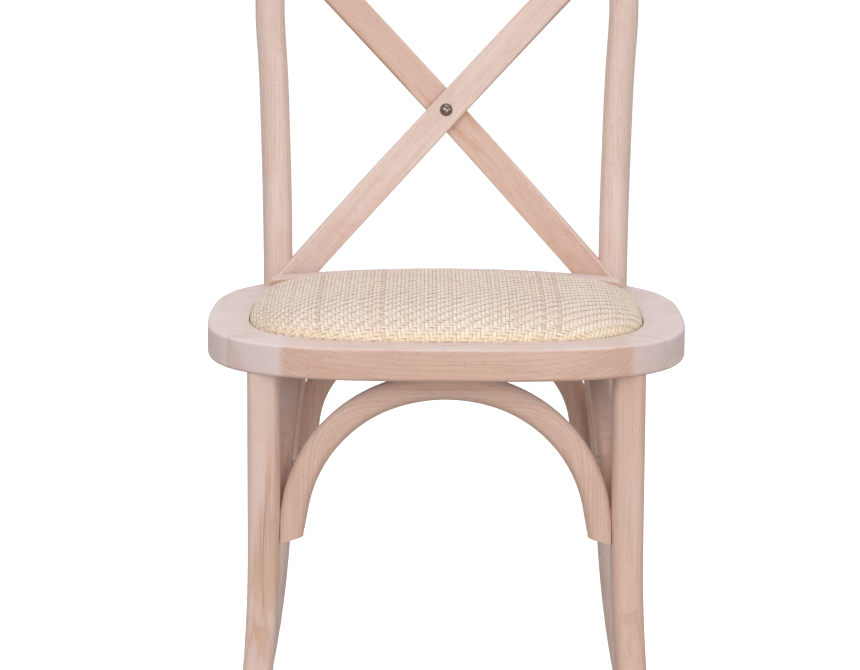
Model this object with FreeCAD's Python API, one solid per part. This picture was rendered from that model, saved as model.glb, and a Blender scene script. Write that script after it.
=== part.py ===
import FreeCAD, Part
import math
import os

# Cross back chair: a bent wooden hoop for the back and the rear legs, a flat seat ring of
# four rails, two front legs, four bent arches under the seat, two crossed slats in the
# back, and a crowned seat panel covered with woven rattan.
# All sizes are millimetres. While the pieces are made, X is to the right as seen from the
# front, Y runs from the front edge of the seat to the back and Z is up from the floor.
# Right and left are as seen from the front all through. The last section moves everything
# so that the origin lies on the floor, in the middle of the chair's outline.

# Overall sizes
seat_height = 460.0
seat_width = 487.0
seat_depth = 450.0
seat_thickness = 32.0
back_height = 417.0

# Seat ring
ring_widest_from_front = 215.0
ring_front_squareness = 3.2
ring_rear_squareness = 3.0
ring_top_edge_radius = 3.0
ring_bottom_edge_radius = 3.5
opening_half_width = 136.0
opening_front_margin = 97.0
opening_rear_margin = 92.0
opening_squareness = 5.0
recess_depth = 12.0
front_joint_x = 216.0
front_joint_y = 67.0
front_joint_slope = 27.0 / 34.0
rear_joint_from_rear = 105.0
dowel_diameter = 8.0
dowel_length = 28.0
front_dowel_places = (12.0, 62.0)
rear_dowel_places = (212.0, 160.0)

# Back hoop
hoop_diameter = 31.4
foot_diameter = 27.0
post_x = 181.3
post_from_front = 395.0
post_bow = 9.2
post_bow_height = 300.0
corner_radius = 88.0
hoop_top_slope = 5.0
back_lean = 48.0
hoop_bulge = 40.0
rear_leg_straight = 200.0
rear_leg_side_splay = 26.0
rear_leg_back_splay = 60.0
hoop_trim = 30.0

# Front legs
leg_width = 32.4
leg_corner_radius = 9.0
leg_foot_width = 28.0
leg_x = 180.4
leg_from_front = 56.0
leg_straight = 190.0
front_leg_side_splay = 22.0
front_leg_forward_splay = 20.0
tenon_diameter = 22.0
tenon_length = 15.0
glide_height = 4.0
glide_diameter = 20.0
glide_pin_diameter = 3.0
glide_pin_length = 14.0

# Arches
arch_width = 27.5
arch_thickness = 20.0
arch_corner_radius = 8.5
arch_drop = 158.5
front_crown_roundness = 1.07
front_crown_angle = 17.0
front_haunch_angle = 79.5
crown_roundness = 1.326
crown_angle = 25.5
haunch_angle = 81.5
arch_flat = 0.25
arch_end_offset = 7.4
arch_facet_rise = 10.0
front_arch_forward = 3.0
side_arch_foot_x = 171.0
side_arch_crown_x = 154.0
side_arch_drop = 147.0

# Cross slats and the rail at their feet
slat_width = 32.5
slat_thickness = 9.0
slat_edge_radius = 1.8
slat_foot_x = 159.0
slat_top_x = 168.0
slat_top_height = 364.0
slat_tenon_length = 9.0
slat_foot_trim_x = 186.0
slat_surface_radius = 335.5
foot_rail_depth = 25.0
foot_rail_proud = 14.0
foot_rail_half_length = 187.0
foot_rail_edge_radius = 2.5

# Seat panel
panel_width = 400.0
panel_front_margin = 43.0
panel_widest_from_front = 200.0
panel_front_squareness = 3.0
panel_side_squareness = 4.0
panel_rear_corner_sharpness = 24
panel_crown = 32.0
panel_roundness = 3.0
dome_last_angle = 86.0
board_thickness = 9.0
cover_thickness = 1.6
hem_width = 18.0

# Fasteners
cross_bolt_head_diameter = 14.0
cross_bolt_head_height = 4.2
cross_bolt_diameter = 6.0
cross_bolt_in_nut = 4.2
cap_nut_diameter = 12.0
cap_nut_height = 7.8
cap_nut_hexagon_height = 3.9
cap_nut_dome_radius = 5.0
washer_thickness = 1.2
screw_diameter = 4.0
screw_head_diameter = 7.6
screw_mouth = 6.0
arch_end_screw_length = 32.0
arch_top_screw_length = 36.0
arch_screw_sink = 5.0
arch_screw_from_end = 11.0
side_screw_slant = 0.65
slat_foot_screw_length = 24.0
slat_foot_screw_middle_x = 162.0
slat_foot_screw_spread = 20.0
slat_foot_screw_sink = 0.4
slat_top_screw_length = 21.0
slat_top_screw_sink = 1.6
foot_rail_screw_length = 34.0
foot_rail_screw_x = (0.0, 100.0, -100.0)
panel_screw_places = ((172.0, 140.0), (172.0, 300.0))
panel_screw_length = 27.0
hoop_bolt_diameter = 6.0
hoop_bolt_head_diameter = 15.0
hoop_bolt_head_height = 3.5
hoop_bolt_length = 84.0
barrel_nut_diameter = 10.0
barrel_nut_length = 15.0
staple_count = 16
staple_width = 10.0
staple_wire = 1.0
staple_leg = 7.0

# Clearances
wood_gap = 0.25
panel_gap = 1.5
pad_gap = 0.3
hole_gap = 0.12

# Places worked out from the sizes above
seat_underside = seat_height - seat_thickness
recess_floor = seat_height - recess_depth
hoop_radius = hoop_diameter / 2
rear_joint_y = seat_depth - rear_joint_from_rear
slat_surface_y = post_from_front - hoop_radius - wood_gap - slat_thickness / 2
slat_surface_y -= math.sqrt(slat_surface_radius ** 2 - post_x ** 2)
slat_top_setback = post_from_front - slat_surface_y
slat_top_setback -= math.sqrt(slat_surface_radius ** 2 - slat_top_x ** 2)
slat_top_setback += hoop_bulge * (1 - (slat_top_x / (post_x + post_bow)) ** 2)
slat_crossing = slat_foot_x / (slat_foot_x + slat_top_x)
bolt_height = seat_height - (seat_thickness + recess_depth) / 2
foot_rail_outer = slat_surface_radius - slat_thickness / 2 - wood_gap
foot_rail_inner = foot_rail_outer - foot_rail_depth
crown_height = seat_underside + arch_flat - arch_width / 2
front_leg_face_x = leg_x - leg_width / 2 - wood_gap
rear_leg_face_x = post_x - hoop_radius - wood_gap
front_leg_face_y = leg_from_front + leg_width / 2 + wood_gap
rear_leg_face_y = post_from_front - hoop_radius - wood_gap
front_half_span = front_leg_face_x - arch_end_offset
rear_half_span = rear_leg_face_x - arch_end_offset
front_arch_y = leg_from_front - front_arch_forward
side_front_y = front_leg_face_y + arch_end_offset
side_rear_y = rear_leg_face_y - arch_end_offset
side_half_span = (side_rear_y - side_front_y) / 2
side_middle_y = (side_rear_y + side_front_y) / 2
side_tilt = math.atan((side_arch_foot_x - side_arch_crown_x) / side_arch_drop)
front_curve = (front_crown_roundness, front_crown_angle, front_haunch_angle)
common_curve = (crown_roundness, crown_angle, haunch_angle)
hem_floor = recess_floor + hole_gap
board_floor = hem_floor + cover_thickness
board_top = board_floor + board_thickness
inner_inset = cover_thickness + pad_gap
hole = 2 * hole_gap
far = 1000.0

up = FreeCAD.Vector(0, 0, 1)
back = FreeCAD.Vector(0, 1, 0)
shapes = {}


def vector(x, y, z):
    return FreeCAD.Vector(x, y, z)


def mirrored(shape):
    return shape.mirror(vector(0, 0, 0), vector(1, 0, 0))


def group(solids):
    return Part.makeCompound(solids)


def cut_all(shape, tools):
    """The shape less every tool that reaches it, as one solid where it is one."""
    extent = shape.optimalBoundingBox(False)
    result = shape.cut([t for t in tools if extent.intersect(t.optimalBoundingBox(False))])
    if len(result.Solids) == 1:
        return result.Solids[0]
    return result


def placed(shape, x_axis, y_axis, z_axis, origin):
    matrix = FreeCAD.Matrix(x_axis.x, y_axis.x, z_axis.x, origin.x,
                            x_axis.y, y_axis.y, z_axis.y, origin.y,
                            x_axis.z, y_axis.z, z_axis.z, origin.z, 0, 0, 0, 1)
    result = shape.copy()
    result.transformShape(matrix)
    return result


def closed_curve(points):
    curve = Part.BSplineCurve()
    curve.interpolate(points, PeriodicFlag=True)
    return Part.Wire([curve.toShape()])


def prism(wire, bottom, top):
    """A solid with the wire as its plan, whatever height the wire lies at."""
    face = Part.Face(wire)
    face.translate(vector(0, 0, bottom - face.BoundBox.ZMin))
    return face.extrude(vector(0, 0, top - bottom))


def box_between(low, high):
    size = high - low
    return Part.makeBox(size.x, size.y, size.z, low)


# Plan outlines
def superellipse_points(half_width, centre_y, front, rear, front_power, rear_power, steps):
    """Points round a rounded square whose front and rear halves have their own depth."""
    points = []
    for step in range(steps):
        angle = 2 * math.pi * (step + 0.5) / steps
        is_rear = math.sin(angle) > 0
        power = rear_power if is_rear else front_power
        depth = rear if is_rear else front
        along_x = abs(math.cos(angle)) ** (2 / power)
        along_y = abs(math.sin(angle)) ** (2 / power)
        x = math.copysign(half_width * along_x, math.cos(angle))
        y = math.copysign(depth * along_y, math.sin(angle))
        points.append(vector(x, centre_y + y, 0))
    return points


def ring_outline():
    rear = seat_depth - ring_widest_from_front
    return closed_curve(superellipse_points(
        seat_width / 2, ring_widest_from_front, ring_widest_from_front, rear,
        ring_front_squareness, ring_rear_squareness, 48))


def opening_outline():
    rear_y = seat_depth - opening_rear_margin
    half_depth = (rear_y - opening_front_margin) / 2
    return closed_curve(superellipse_points(
        opening_half_width, opening_front_margin + half_depth, half_depth, half_depth,
        opening_squareness, opening_squareness, 32))


def panel_reach(angle):
    """Distance from the panel's centre to its edge: a rounded square, cut off at the rear
    by the foot rail's arc, with a soft corner between the two."""
    cosine, sine = math.cos(angle), math.sin(angle)
    front = panel_widest_from_front - panel_front_margin
    rear = slat_surface_y + foot_rail_inner - panel_widest_from_front
    power = panel_side_squareness if sine > 0 else panel_front_squareness
    depth = rear if sine > 0 else front
    square = (abs(2 * cosine / panel_width) ** power + abs(sine / depth) ** power) ** (-1 / power)
    drop = panel_widest_from_front - slat_surface_y
    arc_radius = foot_rail_inner - panel_gap
    arc = math.sqrt(arc_radius ** 2 - (drop * cosine) ** 2) - drop * sine
    sharpness = panel_rear_corner_sharpness
    return (square ** -sharpness + arc ** -sharpness) ** (-1 / sharpness)


def panel_outline(scale, inset, z):
    points = []
    steps = 64
    for step in range(steps):
        angle = 2 * math.pi * step / steps
        reach = (panel_reach(angle) - inset) * scale
        x = reach * math.cos(angle)
        y = panel_widest_from_front + reach * math.sin(angle)
        points.append(vector(x, y, z))
    return closed_curve(points)


# Back hoop
def back_lean_at(height):
    """How far the back has leaned rearward, at a height above the seat."""
    return back_lean * (max(height, 0) / back_height) ** 2


def hoop_leg_point(drop):
    """Centre of a rear leg, a drop below the top of the seat."""
    curved = max(drop - rear_leg_straight, 0) / (seat_height - rear_leg_straight)
    x = post_x + rear_leg_side_splay * curved ** 2
    y = post_from_front + rear_leg_back_splay * curved ** 2
    return vector(x, y, seat_height - drop)


def hoop_post_point(height):
    x = post_x + post_bow * (height / post_bow_height) ** 2
    return vector(x, post_from_front + back_lean_at(height), seat_height + height)


def hoop_half_points():
    """Centre line of the right half, from below the floor to the middle of the top."""
    leg_steps = 8
    post_steps = 5
    corner_steps = 6
    lowest = seat_height + hoop_trim
    points = [hoop_leg_point(lowest - (lowest - seat_thickness) * step / leg_steps)
              for step in range(leg_steps + 1)]
    points += [hoop_post_point(post_bow_height * step / post_steps)
               for step in range(post_steps + 1)]
    start = points[-1]
    lean_out = math.atan(2 * post_bow / post_bow_height)
    centre_x = start.x - corner_radius * math.cos(lean_out)
    centre_h = post_bow_height + corner_radius * math.sin(lean_out)
    last_angle = math.radians(90 - hoop_top_slope)
    for step in range(1, corner_steps + 1):
        angle = -lean_out + (last_angle + lean_out) * step / corner_steps
        x = centre_x + corner_radius * math.cos(angle)
        height = centre_h + corner_radius * math.sin(angle)
        points.append(hoop_top_point(x, height, start.x))
    top_rise = x * math.tan(math.radians(hoop_top_slope) / 2)
    for share in (2 / 3, 1 / 3, 0):
        crown = height + top_rise * (1 - share ** 2)
        points.append(hoop_top_point(x * share, crown, start.x))
    return points


def hoop_top_point(x, height, corner_x):
    bulge = hoop_bulge * max(1 - (x / corner_x) ** 2, 0)
    return vector(x, post_from_front + back_lean_at(height) + bulge, seat_height + height)


def hoop_centre_points():
    right = hoop_half_points()
    left = [vector(-p.x, p.y, p.z) for p in reversed(right[:-1])]
    return right + left


def hoop_radius_at(point):
    """The rear legs thin towards the floor."""
    share = min(max((seat_height - rear_leg_straight - point.z)
                    / (seat_height - rear_leg_straight), 0), 1)
    return hoop_radius + (foot_diameter / 2 - hoop_radius) * share


def circle_section(point, direction, radius):
    """A circle square to a direction, always started from the rear."""
    rearward = (back - direction * back.dot(direction)).normalize()
    circle = Part.Wire([Part.Circle(vector(0, 0, 0), up, radius).toShape()])
    return placed(circle, rearward, direction.cross(rearward), direction, point)


def make_hoop():
    points = hoop_centre_points()
    path = Part.BSplineCurve()
    path.interpolate(points)
    sections = []
    for point in points:
        direction = path.tangent(path.parameter(point))[0].normalize()
        sections.append(circle_section(point, direction, hoop_radius_at(point)))
    hoop = Part.makeLoft(sections, True, False)
    return hoop.cut(box_between(vector(-far, -far, -far), vector(far, far, glide_height)))


# Seat ring
def front_joint_point(along):
    """A point on the right front joint, along it from the ring's outer edge."""
    length = math.hypot(1, front_joint_slope)
    x = front_joint_x - along / length
    return vector(x, front_joint_y + along * front_joint_slope / length, 0)


def front_joint_normal():
    length = math.hypot(1, front_joint_slope)
    return vector(front_joint_slope / length, 1 / length, 0)


def plan_region(corners):
    wire = Part.makePolygon([vector(x, y, 0) for x, y in corners + corners[:1]])
    return prism(wire, 0, far)


def front_rail_region():
    inner = front_joint_point(front_joint_x * 0.5)
    outer_x = seat_width
    outer_y = front_joint_y - (outer_x - front_joint_x) * front_joint_slope
    right = [(outer_x, outer_y), (inner.x, inner.y)]
    left = [(-x, y) for x, y in reversed(right)]
    return plan_region([(outer_x, -far)] + right + left + [(-outer_x, -far)])


def rear_rail_region():
    return plan_region([(-far, rear_joint_y), (far, rear_joint_y), (far, far), (-far, far)])


def foot_rail_pocket():
    """Room in the ring's top for the foot rail and the slat feet behind it; its inner edge
    runs into the panel's recess."""
    outer = slat_surface_radius + slat_thickness / 2 + 3 * wood_gap
    inner = foot_rail_inner - 2 * panel_gap
    centre = vector(0, slat_surface_y, recess_floor)
    pocket = Part.makeCylinder(outer, far, centre).cut(Part.makeCylinder(inner, far, centre))
    reach = foot_rail_half_length + 2 * wood_gap
    return pocket.common(box_between(vector(-reach, panel_widest_from_front, 0),
                                     vector(reach, far, far)))


def post_notch():
    notch_radius = hoop_radius + wood_gap
    middle = vector(post_x, post_from_front, seat_height / 2)
    notch = Part.makeCylinder(notch_radius, seat_height, middle)
    corner = vector(post_x - notch_radius, post_from_front, 0)
    open_side = box_between(corner, vector(far, far, far))
    return notch.fuse(open_side)


def make_ring():
    ring = prism(ring_outline(), seat_underside, seat_height)
    top_edges = [e for e in ring.Edges if e.BoundBox.ZMin > seat_height - 1]
    ring = ring.makeFillet(ring_top_edge_radius, top_edges)
    bottom_edges = [e for e in ring.Edges if e.BoundBox.ZMax < seat_underside + 1]
    ring = ring.makeFillet(ring_bottom_edge_radius, bottom_edges)
    recess = prism(panel_outline(1, -panel_gap, 0), recess_floor, far)
    opening = prism(opening_outline(), 0, far)
    notch = post_notch()
    return ring.cut([recess, opening, foot_rail_pocket(), notch, mirrored(notch)])


def dowel_places():
    """Middle and direction of each dowel on the right side of the ring."""
    places = []
    for along in front_dowel_places:
        middle = front_joint_point(along) + vector(0, 0, bolt_height)
        places.append((middle, front_joint_normal()))
    for x in rear_dowel_places:
        places.append((vector(x, rear_joint_y, bolt_height), back))
    return places


def rod(middle, direction, diameter, length):
    start = middle - direction * (length / 2)
    return Part.makeCylinder(diameter / 2, length, start, direction)


def both_sides(solids):
    return solids + [mirrored(s) for s in solids]


def make_dowels(extra):
    return both_sides([rod(middle, direction, dowel_diameter + extra, dowel_length + extra)
                       for middle, direction in dowel_places()])


# Front legs
def rounded_square(centre, size, corner):
    """A level rounded square wire round a centre."""
    half = size / 2
    flat = half - corner
    edges = []
    for quarter in range(4):
        turn = math.radians(90 * quarter)

        def spot(x, y):
            turned_x = x * math.cos(turn) - y * math.sin(turn)
            turned_y = x * math.sin(turn) + y * math.cos(turn)
            return centre + vector(turned_x, turned_y, 0)

        reach = flat + corner * math.sqrt(0.5)
        edges.append(Part.LineSegment(spot(half, -flat), spot(half, flat)).toShape())
        edges.append(Part.Arc(spot(half, flat), spot(reach, reach), spot(flat, half)).toShape())
    return Part.Wire(edges)


def front_leg_point(drop):
    """Centre of the right front leg, a drop below the top of the seat."""
    curved = max(drop - leg_straight, 0) / (seat_height - leg_straight)
    x = leg_x + front_leg_side_splay * curved ** 2
    y = leg_from_front - front_leg_forward_splay * curved ** 2
    return vector(x, y, seat_height - drop)


def make_front_leg():
    sections = []
    foot_drop = seat_height - glide_height
    straight_steps = 3
    foot_steps = 5
    drops = [seat_thickness + (leg_straight - seat_thickness) * step / straight_steps
             for step in range(straight_steps)]
    drops += [leg_straight + (foot_drop - leg_straight) * step / foot_steps
              for step in range(foot_steps + 1)]
    for drop in drops:
        share = max(drop - leg_straight, 0) / (foot_drop - leg_straight)
        size = leg_width + (leg_foot_width - leg_width) * share
        corner = leg_corner_radius * size / leg_width
        sections.append(rounded_square(front_leg_point(drop), size, corner))
    leg = Part.makeLoft(sections, True, False)
    tenon = Part.makeCylinder(tenon_diameter / 2, tenon_length + 1,
                              vector(leg_x, leg_from_front, seat_underside - 1))
    return leg.fuse(tenon).removeSplitter()


def tenon_hole():
    return Part.makeCylinder(tenon_diameter / 2 + hole_gap, tenon_length + 2 * hole_gap,
                             vector(leg_x, leg_from_front, seat_underside))


# Foot glides
def foot_places():
    return (front_leg_point(seat_height), hoop_leg_point(seat_height))


def make_glides(extra):
    glides = []
    for place in foot_places():
        spot = vector(place.x, place.y, 0)
        pad = Part.makeCylinder(glide_diameter / 2, glide_height, spot)
        pin = Part.makeCylinder((glide_pin_diameter + extra) / 2,
                                glide_height + glide_pin_length + extra, spot)
        glides.append(pad.fuse(pin).removeSplitter())
    return both_sides(glides)


# Arches
def arch_path(half_span, drop, curve):
    """Centre line of an arch in the XZ plane with its crown at the origin: a wide crown
    arc, a tighter haunch arc on each side, and a straight limb down to each end."""
    roundness = curve[0]
    crown = math.radians(curve[1])
    haunch = math.radians(curve[2])
    crown_radius = roundness * half_span
    crown_x = crown_radius * math.sin(crown)
    crown_z = -crown_radius * (1 - math.cos(crown))
    across = math.sin(haunch) - math.sin(crown)
    down = math.cos(crown) - math.cos(haunch)
    limb_slope = 1 / math.tan(haunch)
    reach = half_span - crown_x - limb_slope * (drop + crown_z)
    haunch_radius = reach / (across - limb_slope * down)
    haunch_x = crown_x + haunch_radius * across
    haunch_z = crown_z - haunch_radius * down
    middle = (crown + haunch) / 2
    middle_x = crown_x + haunch_radius * (math.sin(middle) - math.sin(crown))
    middle_z = crown_z - haunch_radius * (math.cos(crown) - math.cos(middle))
    right = [vector(haunch_x, 0, haunch_z), vector(middle_x, 0, middle_z),
             vector(crown_x, 0, crown_z)]
    left = [vector(-p.x, 0, p.z) for p in reversed(right)]
    edges = [
        Part.LineSegment(vector(half_span, 0, -drop), right[0]).toShape(),
        Part.Arc(*right).toShape(),
        Part.Arc(right[2], vector(0, 0, 0), left[0]).toShape(),
        Part.Arc(*left).toShape(),
        Part.LineSegment(left[2], vector(-half_span, 0, -drop)).toShape()]
    return Part.Wire(edges)


def rounded_rectangle(width, height, corner):
    """A rounded rectangle wire in the XY plane round the origin."""
    wide, high = width / 2, height / 2
    flat_x, flat_y = wide - corner, high - corner
    bend = corner * math.sqrt(0.5)
    edges = []
    for sx, sy in ((1, 1), (-1, 1), (-1, -1), (1, -1)):
        side = vector(sx * wide, sy * flat_y, 0)
        corner_mid = vector(sx * (flat_x + bend), sy * (flat_y + bend), 0)
        top = vector(sx * flat_x, sy * high, 0)
        arc = (side, corner_mid, top) if sx * sy > 0 else (top, corner_mid, side)
        edges.append(Part.Arc(*arc).toShape())
        next_x = -sx if sx * sy > 0 else sx
        next_y = sy if sx * sy > 0 else -sy
        end = vector(next_x * (flat_x if sx * sy > 0 else wide),
                     next_y * (high if sx * sy > 0 else flat_y), 0)
        edges.append(Part.LineSegment(arc[2], end).toShape())
    return Part.Wire(edges)


def arch_trim(half_span, drop):
    """What is cut off an arch's right limb: all past the leg's face, and a slanting facet
    under the end."""
    inner_x = half_span - arch_width
    face_x = half_span + arch_end_offset
    corners = [(inner_x, -far), (inner_x, -drop + arch_facet_rise), (face_x, -drop),
               (face_x, far), (far, far), (far, -far)]
    wire = Part.makePolygon([vector(x, -arch_width, z) for x, z in corners + corners[:1]])
    return Part.Face(wire).extrude(back * (2 * arch_width))


def make_arch(half_span, drop, curve):
    """An arch whose crown's centre line passes through the origin, in the XZ plane."""
    path = arch_path(half_span, drop, curve)
    start = path.Edges[0].Vertexes[0].Point
    direction = (path.Edges[0].Vertexes[1].Point - start).normalize()
    section = rounded_rectangle(arch_width, arch_thickness, arch_corner_radius)
    across = direction.cross(back)
    matrix = FreeCAD.Matrix(across.x, back.x, direction.x, start.x,
                            across.y, back.y, direction.y, start.y,
                            across.z, back.z, direction.z, start.z, 0, 0, 0, 1)
    section.transformShape(matrix)
    arch = path.makePipeShell([section], True, False)
    trim = arch_trim(half_span, drop)
    return arch.cut([trim, mirrored(trim)])


def below_seat(shape):
    above = box_between(vector(-far, -far, seat_underside), vector(far, far, far))
    return shape.cut(above)


def make_cross_arch(half_span, y, curve):
    arch = make_arch(half_span, arch_drop, curve)
    arch.translate(vector(0, y, crown_height))
    return below_seat(arch)


def side_arch_axes():
    """The right side arch's own axes: along the side, across it, and up its slope."""
    rise = vector(-math.sin(side_tilt), 0, math.cos(side_tilt))
    across = rise.cross(back)
    return back, across, rise


def make_side_arch():
    along, across, rise = side_arch_axes()
    drop = side_arch_drop / math.cos(side_tilt)
    arch = make_arch(side_half_span, drop, common_curve)
    crown = vector(side_arch_crown_x, side_middle_y, crown_height)
    return below_seat(placed(arch, along, across, rise, crown))


# Fasteners
def countersunk_screw(head, direction, length, extra):
    """A screw whose flat head faces away from its direction; extra widens it to a hole."""
    radius = (screw_diameter + extra) / 2
    head_radius = (screw_head_diameter + extra) / 2
    cone = Part.makeCone(head_radius, radius, head_radius - radius, head, direction)
    shank = Part.makeCylinder(radius, length + extra, head, direction)
    screw = cone.fuse(shank).removeSplitter()
    if extra > 0:
        outside = head - direction * screw_mouth
        mouth = Part.makeCylinder(head_radius, screw_mouth, outside, direction)
        screw = screw.fuse(mouth)
    return screw


def arch_end_screws():
    """Head, direction and length of the screws on the right, one at each arch end."""
    height = crown_height - arch_drop + arch_screw_from_end
    side_height = crown_height - side_arch_drop + arch_screw_from_end
    sideways = vector(1, 0, 0)
    reach = arch_width / 2 - arch_screw_sink
    along, across, rise = side_arch_axes()
    side_x = side_arch_foot_x - arch_screw_from_end * math.tan(side_tilt)
    side_front = vector(side_x, side_front_y + reach, side_height)
    side_rear = vector(side_x, side_rear_y - reach, side_height)
    front_lean = arch_screw_from_end / math.tan(math.radians(front_haunch_angle))
    limb_lean = arch_screw_from_end / math.tan(math.radians(haunch_angle))
    front_x = front_half_span - reach - front_lean
    rear_x = rear_half_span - reach - limb_lean
    into_front_leg = sideways * ((leg_x - side_x) * side_screw_slant) - back * arch_width
    into_rear_leg = sideways * ((post_x - side_x) * side_screw_slant) + back * arch_width
    return [
        (vector(front_x, front_arch_y, height), sideways),
        (vector(rear_x, post_from_front, height), sideways),
        (side_front + back * limb_lean, into_front_leg.normalize()),
        (side_rear - back * limb_lean, into_rear_leg.normalize())]


def arch_top_screws():
    """Head and direction of the screws up through each arch's crown."""
    head_height = crown_height - arch_width / 2 + arch_screw_sink
    return [
        (vector(0, front_arch_y, head_height), up),
        (vector(0, post_from_front, head_height), up),
        (vector(side_arch_crown_x, side_middle_y, head_height), up),
        (vector(-side_arch_crown_x, side_middle_y, head_height), up)]


def make_arch_end_screws(extra):
    return both_sides([countersunk_screw(head, direction, arch_end_screw_length, extra)
                       for head, direction in arch_end_screws()])


def make_arch_top_screws(extra):
    return [countersunk_screw(head, direction, arch_top_screw_length, extra)
            for head, direction in arch_top_screws()]


def make_hoop_bolts(extra):
    """Bolts from behind, through each post and the rear rail, to a barrel nut."""
    start_y = post_from_front + hoop_radius - hoop_bolt_head_height
    start = vector(post_x, start_y, bolt_height)
    shank = Part.makeCylinder((hoop_bolt_diameter + extra) / 2, hoop_bolt_length, start, -back)
    head_length = hoop_bolt_head_height + (screw_mouth if extra > 0 else 0)
    head = Part.makeCylinder((hoop_bolt_head_diameter + extra) / 2, head_length, start, back)
    return both_sides([shank.fuse(head).removeSplitter()])


def make_barrel_nuts(extra):
    nut_y = post_from_front + hoop_radius - hoop_bolt_length + barrel_nut_diameter / 2
    middle = vector(post_x, nut_y, bolt_height)
    barrel = rod(middle, up, barrel_nut_diameter + extra, barrel_nut_length + extra)
    return both_sides([barrel])


# Cross slats
def slat_point(x, height, offset):
    """A point of the slats' curved surface, moved off it along the depth."""
    y = slat_surface_y + math.sqrt(slat_surface_radius ** 2 - x ** 2)
    y += back_lean_at(height) + slat_top_setback * max(height, 0) / slat_top_height
    return vector(x, y + offset, seat_height + height)


def slat_spot(share, side):
    """Centre of a slat: share 0 at the foot rail's top, 1 where it meets the hoop."""
    x = -slat_foot_x + (slat_foot_x + slat_top_x) * share
    height = foot_rail_proud + (slat_top_height - foot_rail_proud) * share
    nearness = max(1 - abs(share - slat_crossing) / slat_crossing, 0)
    lift = (slat_thickness / 2 + wood_gap) * math.sin(math.pi / 2 * nearness) ** 2
    return slat_point(x, height, side * lift)


def slat_section(share, side):
    """Rounded rectangle across a slat, square to its run and to the curved back."""
    step = 0.01
    spot = slat_spot(share, side)
    run = (slat_spot(share + step, side) - slat_spot(share - step, side)).normalize()
    level = (slat_point(spot.x + 1, spot.z - seat_height, 0)
             - slat_point(spot.x - 1, spot.z - seat_height, 0)).normalize()
    steep = (slat_point(spot.x, spot.z - seat_height + 1, 0)
             - slat_point(spot.x, spot.z - seat_height - 1, 0)).normalize()
    outward = level.cross(steep).normalize()
    wide = outward.cross(run).normalize()
    thick = run.cross(wide).normalize()
    section = rounded_rectangle(slat_width, slat_thickness, slat_edge_radius)
    return placed(section, wide, thick, run, spot)


def make_slat(side):
    """A slat from lower left to upper right; side -1 passes in front, 1 behind."""
    length = math.hypot(slat_foot_x + slat_top_x, slat_top_height - foot_rail_proud)
    tenon_end = 1 + slat_tenon_length / length
    foot_end = -(foot_rail_proud + recess_depth + slat_width) / length
    steps = 12
    sections = [slat_section(foot_end + (tenon_end - foot_end) * step / steps, side)
                for step in range(steps + 1)]
    slat = Part.makeLoft(sections, True, False)
    below = box_between(vector(-far, -far, -far), vector(far, far, recess_floor))
    beside = box_between(vector(-far, -far, -far), vector(-slat_foot_trim_x, far, far))
    seat = Part.makeCylinder(foot_rail_outer + wood_gap, recess_depth + foot_rail_proud + wood_gap,
                             vector(0, slat_surface_y, recess_floor))
    return slat.cut([below, beside, seat])


def make_foot_rail():
    centre = vector(0, slat_surface_y, recess_floor)
    height = recess_depth + foot_rail_proud
    outer = Part.makeCylinder(foot_rail_outer, height, centre)
    rail = outer.cut(Part.makeCylinder(foot_rail_inner, height, centre))
    reach = foot_rail_half_length
    rail = rail.common(box_between(vector(-reach, panel_widest_from_front, 0),
                                   vector(reach, far, far)))
    top_edges = [e for e in rail.Edges if e.BoundBox.ZMin > recess_floor + height - 1]
    return rail.makeFillet(foot_rail_edge_radius, top_edges)


# Cross bolt
def crossing_point():
    return slat_spot(slat_crossing, 0)


def bolt_direction():
    spot = crossing_point()
    height = spot.z - seat_height
    steep = slat_point(0, height + 1, 0) - slat_point(0, height - 1, 0)
    return vector(1, 0, 0).cross(steep).normalize() * -1


def make_cross_bolt(extra):
    """Dome-headed bolt through both slats, head to the front."""
    backward = bolt_direction()
    front_face = crossing_point() - backward * (slat_thickness + wood_gap)
    shank_length = 2 * (slat_thickness + wood_gap) + washer_thickness + cross_bolt_in_nut
    shank = Part.makeCylinder((cross_bolt_diameter + extra) / 2, shank_length,
                              front_face, backward)
    if extra > 0:
        return shank
    head_radius = cross_bolt_head_diameter / 2
    dome_radius = (head_radius ** 2 + cross_bolt_head_height ** 2) / (2 * cross_bolt_head_height)
    centre = front_face + backward * (dome_radius - cross_bolt_head_height)
    dome = Part.makeSphere(dome_radius, centre)
    keep = Part.makeCylinder(head_radius, cross_bolt_head_height + 1,
                             front_face, backward * -1)
    return dome.common(keep).fuse(shank).removeSplitter()


def make_cap_nut():
    """Washer and cap nut on the back of the crossing."""
    backward = bolt_direction()
    rear_face = crossing_point() + backward * (slat_thickness + wood_gap)
    washer = Part.makeCylinder(cross_bolt_head_diameter / 2, washer_thickness,
                               rear_face, backward)
    nut_face = rear_face + backward * washer_thickness
    hexagon = [nut_face + FreeCAD.Rotation(backward, 60 * k).multVec(
        vector(cap_nut_diameter / 2, 0, 0)) for k in range(7)]
    nut = Part.Face(Part.makePolygon(hexagon)).extrude(backward * cap_nut_hexagon_height)
    dome_centre = nut_face + backward * (cap_nut_height - cap_nut_dome_radius)
    dome = Part.makeSphere(cap_nut_dome_radius, dome_centre)
    beyond = Part.makeCylinder(cap_nut_diameter, 2 * cap_nut_height, nut_face, backward)
    nut = nut.fuse(dome.common(beyond))
    return washer.fuse(nut).removeSplitter().cut(make_cross_bolt(hole))


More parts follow.
